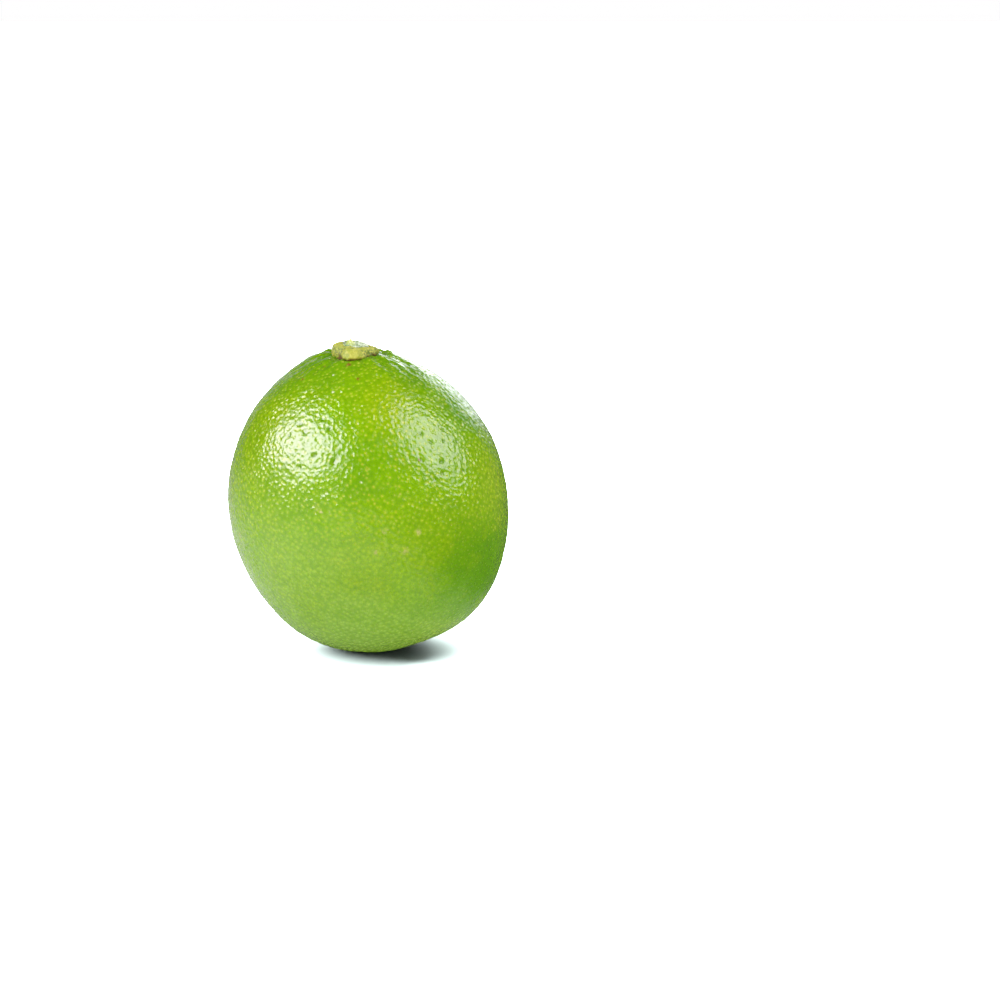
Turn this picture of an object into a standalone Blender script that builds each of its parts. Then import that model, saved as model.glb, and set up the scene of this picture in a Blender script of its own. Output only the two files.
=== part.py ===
"""A whole lime with its stem button, standing on a small flat spot.

Metres, +Z up. The origin is the centre of the flat spot, and the fruit's
front faces -Y. Two objects: the fruit, and the dry button where its stalk was.
"""

import math

import bmesh
import bpy
from mathutils import Matrix, Vector

MM = 0.001

# Fruit: an ellipsoid that leans, with low swells and hollows grown onto it.
FRUIT_WIDTH = 56.0 * MM  # across, its short way
FRUIT_DEPTH = 57.0 * MM  # front to back
FRUIT_LENGTH = 61.0 * MM  # along the long axis
LONG_AXIS_LEAN = math.radians(-22.0)  # from upright, in the XZ plane, top towards -X
FRUIT_SUBDIVISIONS = 5  # of the icosphere it is shaped from

# Stem: where the stalk grew, and which way the button faces.
STEM_FROM_TOP = 6.6  # degrees down from the top, seen from the fruit's centre
STEM_TURN = 216.0  # degrees about +Z from +X
BUTTON_TILT_FRONT = 5.0  # degrees from upright, towards -Y
BUTTON_TILT_RIGHT = 2.0  # degrees from upright, towards +X

# Each swell: (height, spread, angle down from the top, turn about +Z from +X).
# The height is the bump at its middle, negative for a hollow, and the spread is
# the angle, seen from the fruit's centre, in which it falls to 37% of that.
SWELLS = {
    "neck": (1.10 * MM, 17.0, STEM_FROM_TOP, STEM_TURN),
    "left_shoulder": (0.60 * MM, 12.0, 24.0, 157.0),
    "left_flat": (-0.35 * MM, 20.0, 66.0, 176.0),
    "left_haunch": (0.10 * MM, 25.0, 125.0, 185.0),
    "right_flat": (-0.40 * MM, 25.0, 90.0, 0.0),
    "right_haunch": (0.65 * MM, 22.0, 134.0, 352.0),
    "foot_haunch": (1.05 * MM, 23.0, 153.0, 201.0),
    "foot_hollow": (-0.50 * MM, 14.0, 156.0, 337.0),
    "back_haunch": (0.50 * MM, 30.0, 100.0, 120.0),
    "stylar_tip": (1.20 * MM, 7.5, 148.0, 40.0),
}

# Flat spot that the fruit rests on.
FOOT_DIAMETER = 12.0 * MM

# Button: a five-lobed disc with a hollow top and a torn scar standing in it.
BUTTON_DIAMETER = 9.8 * MM  # over the lobes
BUTTON_HEIGHT = 2.1 * MM  # from its underside to the crest of the rim
BUTTON_TUCK = 0.5 * MM  # the underside's rounding, inwards and upwards
LOBES = 5
LOBE_DEPTH = 0.35 * MM  # how far the notches between the lobes cut in
RIM_DIAMETER = 5.8 * MM  # at the crest
RIM_WALL = 0.55 * MM  # from the crest to the hollow's wall
HOLLOW_DEPTH = 0.7 * MM  # below the crest
LIP_SHARE = 0.25  # of the hollow's depth, lost halfway in from the crest to its wall
SCAR_GAP = 0.35 * MM  # between the scar and the hollow's wall
SCAR_RISE = 1.1 * MM  # of the scar's middle above the crest
SCAR_SHOULDER = (0.9, 0.0)  # shares of the scar's radius and of its rise above the crest
SCAR_BROW = (0.55, 0.8)  # the same, where its flank turns in to the top
SCAR_SLANT = 0.35  # rise of its torn face per unit towards -X
CLEARANCE = 0.3 * MM  # between the button and the seat cut for it, below and around
SEAT_SINK = 0.1 * MM  # of the seat's floor below the lowest skin around it
BUTTON_SEGMENTS = 60
FLANK_STEPS = 6

SHARP_EDGE = math.radians(35.0)  # edges that turn more than this are shaded sharp
AROUND = 72  # points on a circle where the skin's height is found
HALVINGS = 40  # of the span in which the skin's height is sought


def direction(from_top, turn):
    """Unit vector at these angles, in degrees, from the fruit's centre."""
    down = math.radians(from_top)
    round_z = math.radians(turn)
    return Vector(
        (
            math.sin(down) * math.cos(round_z),
            math.sin(down) * math.sin(round_z),
            math.cos(down),
        )
    )


def fruit_radius(way):
    """Distance from the fruit's centre to its skin along a unit vector."""
    lean = Matrix.Rotation(-LONG_AXIS_LEAN, 3, "Y")
    own = lean @ way
    radius = 1.0 / math.sqrt(
        (own.x / (FRUIT_WIDTH / 2)) ** 2
        + (own.y / (FRUIT_DEPTH / 2)) ** 2
        + (own.z / (FRUIT_LENGTH / 2)) ** 2
    )
    for height, spread, from_top, turn in SWELLS.values():
        off = way.angle(direction(from_top, turn)) / math.radians(spread)
        radius += height * math.exp(-off * off)
    return radius


def skin_height(point, axis):
    """How far the skin is from a point along an axis, negative for a point outside."""
    low = -FRUIT_LENGTH
    high = FRUIT_LENGTH
    for _ in range(HALVINGS):
        middle = (low + high) / 2
        tried = point + axis * middle
        if tried.length < fruit_radius(tried.normalized()):
            low = middle
        else:
            high = middle
    return low


def heights_around(point, axis, diameter):
    """The skin's height at points on a circle round an axis through a point."""
    side = axis.orthogonal().normalized() * (diameter / 2)
    turns = [Matrix.Rotation(math.tau * i / AROUND, 3, axis) for i in range(AROUND)]
    return [skin_height(point + turn @ side, axis) for turn in turns]


def new_material(name, colour, roughness):
    material = bpy.data.materials.new(name)
    material.use_nodes = True
    shader = material.node_tree.nodes["Principled BSDF"]
    shader.inputs["Base Color"].default_value = (*colour, 1.0)
    shader.inputs["Roughness"].default_value = roughness
    shader.inputs["Metallic"].default_value = 0.0
    return material


def new_object(name, bm, material, parent):
    bmesh.ops.recalc_face_normals(bm, faces=bm.faces)
    mesh = bpy.data.meshes.new(name)
    bm.to_mesh(mesh)
    bm.free()
    mesh.shade_smooth()
    mesh.set_sharp_from_angle(angle=SHARP_EDGE)
    mesh.materials.append(material)
    made = bpy.data.objects.new(name, mesh)
    made.parent = parent
    bpy.context.scene.collection.objects.link(made)
    return made


def fruit_body():
    """The fruit's mesh around its own centre, and the centre of its foot."""
    bm = bmesh.new()
    bmesh.ops.create_icosphere(bm, subdivisions=FRUIT_SUBDIVISIONS, radius=1.0)
    for vert in bm.verts:
        way = vert.co.normalized()
        vert.co = way * fruit_radius(way)
    down = Vector((0.0, 0.0, -1.0))
    depths = heights_around(Vector(), down, FOOT_DIAMETER)
    everything = bm.verts[:] + bm.edges[:] + bm.faces[:]
    cut = bmesh.ops.bisect_plane(
        bm,
        geom=everything,
        plane_co=down * (sum(depths) / AROUND),
        plane_no=down,
        clear_outer=True,
    )["geom_cut"]
    outline = [item for item in cut if isinstance(item, bmesh.types.BMEdge)]
    foot = bmesh.ops.edgeloop_fill(bm, edges=outline)["faces"][0]
    middle = foot.calc_center_bounds()
    bmesh.ops.poke(bm, faces=[foot])
    return bm, middle


def button_facing():
    """The way the button faces, which its seat is cut square to."""
    return Vector(
        (
            math.tan(math.radians(BUTTON_TILT_RIGHT)),
            -math.tan(math.radians(BUTTON_TILT_FRONT)),
            1.0,
        )
    ).normalized()


def seat_frame():
    """The seat's place: its origin is the middle of its floor, and its Z faces out."""
    facing = button_facing()
    stem = direction(STEM_FROM_TOP, STEM_TURN)
    root = stem * fruit_radius(stem)
    lowest = min(heights_around(root, facing, BUTTON_DIAMETER + 2 * CLEARANCE))
    turned = Vector((0.0, 0.0, 1.0)).rotation_difference(facing)
    return Matrix.Translation(root + facing * (lowest - SEAT_SINK)) @ turned.to_matrix().to_4x4()


def seat_cutter():
    """A cylinder that clears the fruit away over the seat."""
    bm = bmesh.new()
    bmesh.ops.create_cone(
        bm,
        cap_ends=True,
        segments=BUTTON_SEGMENTS,
        radius1=BUTTON_DIAMETER / 2 + CLEARANCE,
        radius2=BUTTON_DIAMETER / 2 + CLEARANCE,
        depth=BUTTON_DIAMETER,
        matrix=Matrix.Translation((0.0, 0.0, BUTTON_DIAMETER / 2)),
    )
    return bm


def button_profile():
    """(radius, height) points from the middle of the seat to the scar's middle."""
    edge = BUTTON_DIAMETER / 2
    crest = RIM_DIAMETER / 2
    hollow = crest - RIM_WALL
    floor = BUTTON_HEIGHT - HOLLOW_DEPTH
    scar = hollow - SCAR_GAP
    points = [(0.0, 0.0), (edge - BUTTON_TUCK, 0.0)]
    for step in range(FLANK_STEPS + 1):
        turn = math.pi / 2 * step / FLANK_STEPS
        out = crest + (edge - crest) * math.cos(turn)
        up = BUTTON_TUCK + (BUTTON_HEIGHT - BUTTON_TUCK) * math.sin(turn)
        points.append((out, up))
    points.append(((crest + hollow) / 2, BUTTON_HEIGHT - HOLLOW_DEPTH * LIP_SHARE))
    points.append((hollow, floor))
    points.append((scar, floor))
    for inward, rise in (SCAR_SHOULDER, SCAR_BROW):
        points.append((scar * inward, BUTTON_HEIGHT + SCAR_RISE * rise))
    points.append((0.0, BUTTON_HEIGHT + SCAR_RISE))
    return points


def lobe_scale(radius, turn):
    """Share of its radius that a point keeps: the edge is lobed, the rim is round."""
    edge = BUTTON_DIAMETER / 2
    crest = RIM_DIAMETER / 2
    share = max(0.0, (radius - crest) / (edge - crest))
    notch = (1.0 - abs(math.cos(LOBES * turn / 2))) ** 2
    return 1.0 - share * notch * LOBE_DEPTH / edge


def button_body():
    bm = bmesh.new()
    points = [bm.verts.new((out, 0.0, up)) for out, up in button_profile()]
    line = [bm.edges.new(pair) for pair in zip(points, points[1:])]
    bmesh.ops.spin(
        bm,
        geom=points + line,
        axis=(0.0, 0.0, 1.0),
        cent=(0.0, 0.0, 0.0),
        steps=BUTTON_SEGMENTS,
        angle=math.tau,
        use_merge=True,
    )
    bmesh.ops.remove_doubles(bm, verts=bm.verts, dist=0.001 * MM)
    for vert in bm.verts:
        radius = vert.co.to_2d().length
        scale = lobe_scale(radius, math.atan2(vert.co.y, vert.co.x))
        vert.co.x *= scale
        vert.co.y *= scale
        above = max(0.0, vert.co.z - BUTTON_HEIGHT) / SCAR_RISE
        vert.co.z -= above * SCAR_SLANT * vert.co.x
    return bm


def build():
    for item in list(bpy.data.objects):
        bpy.data.objects.remove(item)
    stand = bpy.data.objects.new("lime", None)
    bpy.context.scene.collection.objects.link(stand)
    peel = new_material("peel", (0.17, 0.36, 0.02), 0.35)
    calyx = new_material("dry_calyx", (0.38, 0.34, 0.10), 0.8)
    seat = seat_frame()

    body, foot = fruit_body()
    stand.location = -foot
    fruit = new_object("fruit", body, peel, stand)

    cutter = new_object("seat_cutter", seat_cutter(), peel, stand)
    cutter.matrix_local = seat
    cutter.hide_render = True
    cutter.display_type = "WIRE"
    socket = fruit.modifiers.new("button_seat", "BOOLEAN")
    socket.operation = "DIFFERENCE"
    socket.object = cutter

    button = new_object("stem_button", button_body(), calyx, stand)
    button.matrix_local = seat @ Matrix.Translation((0.0, 0.0, CLEARANCE))


build()
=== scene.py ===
import math

import bmesh
import bpy
import numpy as np
from mathutils import Matrix, Vector, noise
from mathutils.bvhtree import BVHTree
from mathutils.kdtree import KDTree


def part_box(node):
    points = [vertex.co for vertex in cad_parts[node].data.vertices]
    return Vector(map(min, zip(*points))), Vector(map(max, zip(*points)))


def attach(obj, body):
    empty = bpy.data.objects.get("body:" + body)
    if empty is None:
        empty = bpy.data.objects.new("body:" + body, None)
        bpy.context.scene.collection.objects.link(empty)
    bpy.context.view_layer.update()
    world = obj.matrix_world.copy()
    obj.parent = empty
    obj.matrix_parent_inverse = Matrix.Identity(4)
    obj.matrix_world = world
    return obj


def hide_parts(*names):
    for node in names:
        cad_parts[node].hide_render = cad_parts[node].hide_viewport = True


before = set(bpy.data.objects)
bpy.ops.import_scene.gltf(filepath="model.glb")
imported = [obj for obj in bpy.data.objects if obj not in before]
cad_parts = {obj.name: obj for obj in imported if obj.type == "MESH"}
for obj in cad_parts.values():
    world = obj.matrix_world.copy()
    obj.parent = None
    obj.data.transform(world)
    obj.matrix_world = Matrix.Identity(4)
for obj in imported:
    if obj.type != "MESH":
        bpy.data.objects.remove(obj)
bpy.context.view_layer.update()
mm = 0.001


# helpers for places on the fruit and for skins made of points

def wayTo(fromTop, turn):
    # unit vector from the fruit's middle: degrees down from the top, degrees about +Z from +X
    down = math.radians(fromTop)
    spin = math.radians(turn)
    return Vector((math.sin(down) * math.cos(spin), math.sin(down) * math.sin(spin), math.cos(down)))


def treeOf(mesh):
    return BVHTree.FromPolygons([v.co for v in mesh.vertices], [p.vertices for p in mesh.polygons])


def readPlaces(mesh, what="co"):
    flat = np.empty(len(mesh.vertices) * 3, np.float32)
    mesh.vertices.foreach_get(what, flat)
    return flat.reshape(-1, 3).astype(np.float64)


def writePlaces(mesh, places):
    mesh.vertices.foreach_set("co", places.astype(np.float32).ravel())
    mesh.update()


def paint(mesh, name, values):
    layer = mesh.attributes.new(name, "FLOAT", "POINT")
    layer.data.foreach_set("value", np.asarray(values, np.float32))


def lumps(places, size, seed):
    # smooth noise about -1 to 1, with lumps of that size; each seed gives its own pattern
    shift = Vector((seed * 7.3, seed * 3.1, seed * 5.7))
    return np.array([noise.noise(Vector(p) / size + shift) for p in places])


def fade(values, start, end):
    # 1 up to start, 0 past end, smooth between
    share = np.clip((values - end) / (start - end), 0.0, 1.0)
    return share * share * (3.0 - 2.0 * share)


def newObject(name, mesh):
    made = bpy.data.objects.new(name, mesh)
    bpy.context.scene.collection.objects.link(made)
    return made


fruitLow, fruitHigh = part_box("fruit")
core = (fruitLow + fruitHigh) / 2
fruitSkin = treeOf(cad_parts["fruit"].data)


def buttonPlace():
    # the button's underside is its only flat face that looks down
    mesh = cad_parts["stem_button"].data
    flats = [p for p in mesh.polygons if p.normal.z < -0.98]
    area = sum(face.area for face in flats)
    facing = -sum((face.normal * face.area for face in flats), Vector()).normalized()
    middle = sum((face.center * face.area for face in flats), Vector()) / area
    turned = Vector((0.0, 0.0, 1.0)).rotation_difference(facing)
    return Matrix.Translation(middle) @ turned.to_matrix().to_4x4()


buttonFrame = buttonPlace()
buttonUp = buttonFrame.to_3x3() @ Vector((0.0, 0.0, 1.0))
buttonRoot = buttonFrame.translation
print("frame read: fruit middle", [round(c / mm, 2) for c in core], "mm, button at",
      [round(c / mm, 2) for c in buttonRoot], "mm")


# peel: one skin over the whole fruit, pored, with folds at the stem end and a nipple at the other

peel = {
    "seed": 11,
    "cageCuts": 54,  # cuts along each side of the cube that the cage starts as
    "subdivisions": 2,
    "relaxPasses": 3,
    "seatRadius": 5.6 * mm,  # the seat under the button is smoothed over inside this
    "seatReach": 5.0 * mm,  # and down to this far below the button's root
    "seatPasses": 60,
    "broadLump": (14.0 * mm, 0.12 * mm),  # size and height of each scale of unevenness
    "middleLump": (5.0 * mm, 0.09 * mm),
    "smallLump": (1.4 * mm, 0.062 * mm),
    "fineLump": (0.55 * mm, 0.054 * mm),
    "glandCount": 9800,
    "glandJitter": 0.46,  # share of their spacing
    "glandDepth": (0.05 * mm, 0.17 * mm),
    "glandRadius": (0.20 * mm, 0.30 * mm),
    "dotShrink": 1.15,  # a gland's coloured dot is this much smaller than its dent
    "haloWidth": 1.5,  # darker skin starts this far out, in gland radii
    "faintGlands": 0.20,  # how much they show low down
    "faintBelow": (75.0, 112.0),  # degrees from the top
    "pitCount": 80,
    "pitDepth": (0.03 * mm, 0.07 * mm),
    "pitRadius": (0.35 * mm, 0.60 * mm),
    "ownPitDepth": 0.21 * mm,
    "foldReach": (5.5 * mm, 20.0 * mm),  # of the folds that run out from the button
    "foldDrop": 12.0 * mm,  # and how far below its root they may lie
    "wideFolds": (4.2, 14.0 * mm, 0.32 * mm),  # how many, how long, how high
    "fineFolds": (8.0, 22.0 * mm, 0.27 * mm),
    "ridge": (7.6 * mm, 18.0, 0.42 * mm),  # fold beside the button: distance, turn, height
    "ridgeSpan": (2.2 * mm, 0.7 * mm),  # half its length, half its width
    "furrow": (1.5 * mm, 1.3),  # on its inner side: how far in, how deep as a share of the ridge
    "furrowSpan": (2.6 * mm, 0.6 * mm),
    "buttonShade": (5.0 * mm, 7.5 * mm),  # painted shade on the skin round the button: full up to, gone past
    "tipWay": (148.0, 40.0),
    "tipRing": (4.2 * mm, 0.9 * mm, 0.35 * mm),  # furrow round the nipple: radius, width, depth
    "tipWave": (0.12, 0.12),  # the ring isn't round: size of the waves, how far they go
    "tipScar": 1.0 * mm,
    "tipScarEdge": 1.1,  # its colour goes this much further than its dip
    "tipDip": 0.3 * mm,
    "restHeight": 0.02 * mm,  # nothing goes below it, so the resting spot stays flat
    "patchWave": (0.2, 0.35),  # uneven edges of the colour patches: size, strength
    "markWave": (0.012, 0.8),
}

# places on the skin are degrees from the top and turn; pits that show one by one, with their radius
peelPits = [
    (55, 299, 0.40 * mm), (59, 303, 0.45 * mm), (59, 310, 0.42 * mm), (54, 312, 0.36 * mm),
    (60, 318, 0.36 * mm), (66, 296, 0.42 * mm), (67, 306, 0.48 * mm), (72, 305, 0.38 * mm),
    (74, 301, 0.36 * mm), (72, 316, 0.36 * mm), (52, 238, 0.50 * mm), (55, 242, 0.60 * mm),
    (53, 254, 0.50 * mm), (64, 249, 0.60 * mm), (66, 258, 0.70 * mm), (57, 234, 0.40 * mm),
    (49, 249, 0.45 * mm), (69, 243, 0.40 * mm),
]

# patches of colour: place, spread in degrees, strength
peelTints = {
    # deeper green; low on the right, at turns 308 to 325, partly the peel's own and partly painted shade
    "deepAndShadeTint": [
        (44, 354, 16, 0.8), (26, 205, 17, 0.5), (20, 320, 16, 0.5), (52, 342, 9, 0.4),
        (45, 335, 9, 0.5), (110, 325, 19, 1.0), (124, 325, 17, 0.8), (103, 308, 9, 0.3),
        (74, 275, 15, 0.25), (46, 60, 24, 0.7), (88, 118, 22, 0.6), (120, 60, 20, 0.4),
        (150, 200, 18, 0.3),
    ],
    # yellower skin; the spot low on the right at turn 318 is partly painted light from the table
    "yellowTint": [
        (39, 286, 11, 0.8), (48, 283, 9, 0.5), (92, 300, 16, 0.35), (94, 270, 14, 0.25),
        (76, 215, 24, 0.4), (148, 318, 9, 0.8), (80, 334, 13, 0.8), (50, 222, 14, 0.6),
        (114, 240, 20, 0.4), (112, 272, 15, 0.3), (70, 25, 20, 0.6), (98, 165, 26, 0.7),
        (120, 110, 18, 0.5), (40, 150, 16, 0.4),
    ],
    "warmDots": [
        (70, 278, 22, 1.0), (92, 265, 20, 0.7), (50, 285, 14, 0.7), (75, 80, 34, 0.9),
        (60, 170, 24, 0.6),
    ],
    # paler skin; low down partly the peel's own bloom and partly painted light from the table beneath
    "paleAndTableLight": [
        (108, 238, 26, 0.45), (82, 206, 14, 0.25), (150, 272, 24, 1.0), (96, 222, 22, 0.10),
        (80, 334, 13, 0.20), (146, 316, 12, 0.9), (148, 225, 14, 0.7), (140, 150, 34, 0.6),
        (110, 30, 24, 0.3), (160, 60, 30, 0.5),
    ],
}

# small marks: place and radius
peelMarks = {
    "fleck": [
        (28, 265, 0.32 * mm), (32, 220, 0.30 * mm), (23, 227, 0.22 * mm), (66, 295, 0.24 * mm),
        (20, 252, 0.45 * mm), (41, 95, 0.35 * mm), (63, 140, 0.30 * mm), (75, 60, 0.40 * mm),
        (104, 85, 0.30 * mm), (55, 20, 0.25 * mm),
    ],
    "scuff": [
        (93, 279, 0.45 * mm), (94, 292, 0.60 * mm), (101, 275, 0.50 * mm), (101, 287, 0.60 * mm),
        (84, 252, 0.55 * mm), (101, 206, 0.60 * mm), (86, 254, 0.35 * mm), (80, 100, 1.10 * mm),
        (83, 104, 0.80 * mm), (112, 130, 0.90 * mm), (60, 75, 0.60 * mm), (95, 35, 0.70 * mm),
        (70, 160, 0.50 * mm),
    ],
    "paleDot": [
        (48, 336, 0.22 * mm), (36, 250, 0.22 * mm), (27, 243, 0.18 * mm), (74, 270, 0.20 * mm),
        (52, 80, 0.22 * mm), (90, 140, 0.22 * mm),
    ],
}


def relax(bm, verts, passes):
    for _ in range(passes):
        bmesh.ops.smooth_vert(bm, verts=verts, factor=0.5,
                              use_axis_x=True, use_axis_y=True, use_axis_z=True)


def overSeat(place):
    fromRoot = place - buttonRoot
    inside = fromRoot.cross(buttonUp).length < peel["seatRadius"]
    return inside and fromRoot.dot(buttonUp) > -peel["seatReach"]


def peelCage():
    # a cube cut fine, blown up to a ball, each point then set on the fruit
    bm = bmesh.new()
    bmesh.ops.create_cube(bm, size=2.0)
    bmesh.ops.subdivide_edges(bm, edges=bm.edges[:], cuts=peel["cageCuts"], use_grid_fill=True)
    for vert in bm.verts:
        way = Vector([math.tan(c * math.pi / 4) for c in vert.co]).normalized()  # even spacing
        vert.co = fruitSkin.ray_cast(core, way)[0]
    relax(bm, bm.verts, peel["relaxPasses"])
    relax(bm, [v for v in bm.verts if overSeat(v.co)], peel["seatPasses"])
    mesh = bpy.data.meshes.new("peelCage")
    bm.to_mesh(mesh)
    bm.free()
    return mesh


def subdivided(mesh, levels):
    cage = newObject("cage", mesh)
    rounder = cage.modifiers.new("rounder", "SUBSURF")
    rounder.levels = levels
    rounder.render_levels = levels
    graph = bpy.context.evaluated_depsgraph_get()
    made = bpy.data.meshes.new_from_object(cage.evaluated_get(graph))
    bpy.data.objects.remove(cage)
    return made


def glandWays(rng):
    # an even spiral of directions, each shaken a little
    count = peel["glandCount"]
    order = np.arange(count) + 0.5
    down = np.arccos(1.0 - 2.0 * order / count)
    turn = math.pi * (1.0 + math.sqrt(5.0)) * order
    ways = np.stack([np.sin(down) * np.cos(turn), np.sin(down) * np.sin(turn), np.cos(down)], axis=1)
    spacing = math.sqrt(4.0 * math.pi / count)
    ways += rng.normal(0.0, spacing * peel["glandJitter"] / 2, ways.shape)
    return ways / np.linalg.norm(ways, axis=1, keepdims=True)


def nearest(ways, found):
    # for each of found, which of ways is closest, and how far off as an angle
    tree = KDTree(len(ways))
    for index, way in enumerate(ways):
        tree.insert(way, index)
    tree.balance()
    hits = [tree.find(way) for way in found]
    return np.array([h[1] for h in hits]), np.array([h[2] for h in hits])


def tint(ways, patches, wobble):
    # patches with soft, uneven edges
    left = np.ones(len(ways))
    for fromTop, turn, reach, strength in patches:
        off = np.degrees(np.arccos(np.clip(ways @ np.array(wayTo(fromTop, turn)), -1.0, 1.0)))
        left *= 1.0 - strength * np.exp(-(off / reach * wobble) ** 2)
    return 1.0 - left


def spots(ways, radius, marks, wobble):
    # small marks with an uneven outline
    found = np.zeros(len(ways))
    for fromTop, turn, size in marks:
        off = np.linalg.norm(ways - np.array(wayTo(fromTop, turn)), axis=1) * radius
        found = np.maximum(found, np.exp(-(off / size * wobble) ** 4))
    return found


def unevenness(places):
    rise = np.zeros(len(places))
    for seed, scale in enumerate(("broadLump", "middleLump", "smallLump", "fineLump"), 1):
        size, height = peel[scale]
        rise += height * lumps(places, size, seed)
    return rise


def glandsOver(ways, radius, rng):
    # how deep the glands are, each with its own depth and width, and their dots, halos and shades
    centres = glandWays(rng)
    depths = rng.uniform(*peel["glandDepth"], len(centres))
    widths = rng.uniform(*peel["glandRadius"], len(centres))
    shades = rng.uniform(0.0, 1.0, len(centres))
    gland, off = nearest(centres, ways)
    share = off * radius / widths[gland]
    dots = np.exp(-(share * peel["dotShrink"]) ** 4)
    halo = np.exp(-(share / peel["haloWidth"]) ** 2)
    return depths[gland] * np.exp(-share * share), dots, halo, shades[gland]


def pitsOver(ways, radius, rng):
    # how deep the larger pits are
    pitWays = rng.normal(0.0, 1.0, (peel["pitCount"], 3))
    pitWays /= np.linalg.norm(pitWays, axis=1, keepdims=True)
    pitSizes = rng.uniform(*peel["pitRadius"], peel["pitCount"])
    pitDepths = rng.uniform(*peel["pitDepth"], peel["pitCount"])
    ownWays = np.array([wayTo(fromTop, turn) for fromTop, turn, _ in peelPits])
    pitWays = np.concatenate([pitWays, ownWays])
    pitSizes = np.append(pitSizes, [size for _, _, size in peelPits])
    pitDepths = np.append(pitDepths, [peel["ownPitDepth"]] * len(peelPits))
    pit, off = nearest(pitWays, ways)
    share = off * radius / pitSizes[pit]
    return pitDepths[pit] * np.exp(-share * share)


def foldsOver(places):
    # folds that run out from the button, the short ridge beside it, and a mask for painted shade round
    # it
    flat = (places - np.array(buttonRoot)) @ np.array(buttonFrame.to_3x3())
    reach = np.hypot(flat[:, 0], flat[:, 1])
    around = np.arctan2(flat[:, 1], flat[:, 0])
    above = flat[:, 2] > -peel["foldDrop"]
    inReach = np.where(above, fade(reach, *peel["foldReach"]), 0.0)
    rise = np.zeros(len(places))
    for seed, kind in enumerate(("wideFolds", "fineFolds"), 9):
        count, length, height = peel[kind]
        spokes = np.stack([np.cos(around), np.sin(around), reach / length], axis=1)
        rise += height * lumps(spokes, 1.0 / count, seed) * inReach
    ridgeReach, ridgeTurn, ridgeHeight = peel["ridge"]
    ridgeLength, ridgeWidth = peel["ridgeSpan"]
    furrowIn, furrowShare = peel["furrow"]
    furrowLength, furrowWidth = peel["furrowSpan"]
    along = np.abs((around - math.radians(ridgeTurn) + math.pi) % math.tau - math.pi) * reach
    across = reach - ridgeReach
    ridge = np.exp(-(along / ridgeLength) ** 2 - (across / ridgeWidth) ** 2)
    furrow = np.exp(-(along / furrowLength) ** 2 - ((across + furrowIn) / furrowWidth) ** 2)
    rise += np.where(above, ridgeHeight * (ridge - furrowShare * furrow), 0.0)
    return rise, np.where(above, fade(reach, *peel["buttonShade"]), 0.0)


def tipOver(ways, radius):
    # how deep the ring and the dip at the blossom end are, and where the scar is
    tip = np.array(wayTo(*peel["tipWay"]))
    off = np.arccos(np.clip(ways @ tip, -1.0, 1.0)) * radius
    ring, ringWidth, ringDepth = peel["tipRing"]
    waveSize, waveShare = peel["tipWave"]
    ringWave = ring * (1.0 + waveShare * lumps(ways, waveSize, 14))
    depth = ringDepth * np.exp(-((off - ringWave) / ringWidth) ** 2)
    depth += peel["tipDip"] * np.exp(-(off / peel["tipScar"]) ** 2)
    return depth, np.exp(-(off / (peel["tipScar"] * peel["tipScarEdge"])) ** 4)


def makePeel():
    rng = np.random.default_rng(peel["seed"])
    mesh = subdivided(peelCage(), peel["subdivisions"])
    places = readPlaces(mesh)
    outward = readPlaces(mesh, "normal")
    offsets = places - np.array(core)
    radius = np.linalg.norm(offsets, axis=1)
    ways = offsets / radius[:, None]
    print("peel skin:", len(places), "points")

    glandDepth, dots, halo, shades = glandsOver(ways, radius, rng)
    pitDepth = pitsOver(ways, radius, rng)
    foldRise, buttonShade = foldsOver(places)
    tipDepth, tipScar = tipOver(ways, radius)
    rise = unevenness(places) - glandDepth - pitDepth + foldRise - tipDepth
    places += outward * rise[:, None]
    places[:, 2] = np.maximum(places[:, 2], peel["restHeight"])
    writePlaces(mesh, places)
    mesh.shade_smooth()

    fromTop = np.degrees(np.arccos(ways[:, 2]))
    faint = peel["faintGlands"]
    showing = faint + (1.0 - faint) * fade(fromTop, *peel["faintBelow"])
    paint(mesh, "glandDot", dots)
    paint(mesh, "glandShade", shades * showing)
    paint(mesh, "glandHalo", halo)
    # pit depth, which the colour also uses as painted shade
    paint(mesh, "pit", pitDepth / peel["ownPitDepth"])
    paint(mesh, "buttonShade", buttonShade)
    paint(mesh, "tipScar", tipScar)
    size, strength = peel["patchWave"]
    wobble = 1.0 + strength * lumps(ways, size, 15)
    for name, patches in peelTints.items():
        paint(mesh, name, tint(ways, patches, wobble))
    size, strength = peel["markWave"]
    wobble = 1.0 + strength * lumps(ways, size, 16)
    for name, marks in peelMarks.items():
        paint(mesh, name, spots(ways, radius, marks, wobble))
    return newObject("peelSkin", mesh)


peelSkin = makePeel()
print("peel shaped")


# stem button: lobed calyx with a ragged edge, and the torn stalk in its hollow

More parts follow.
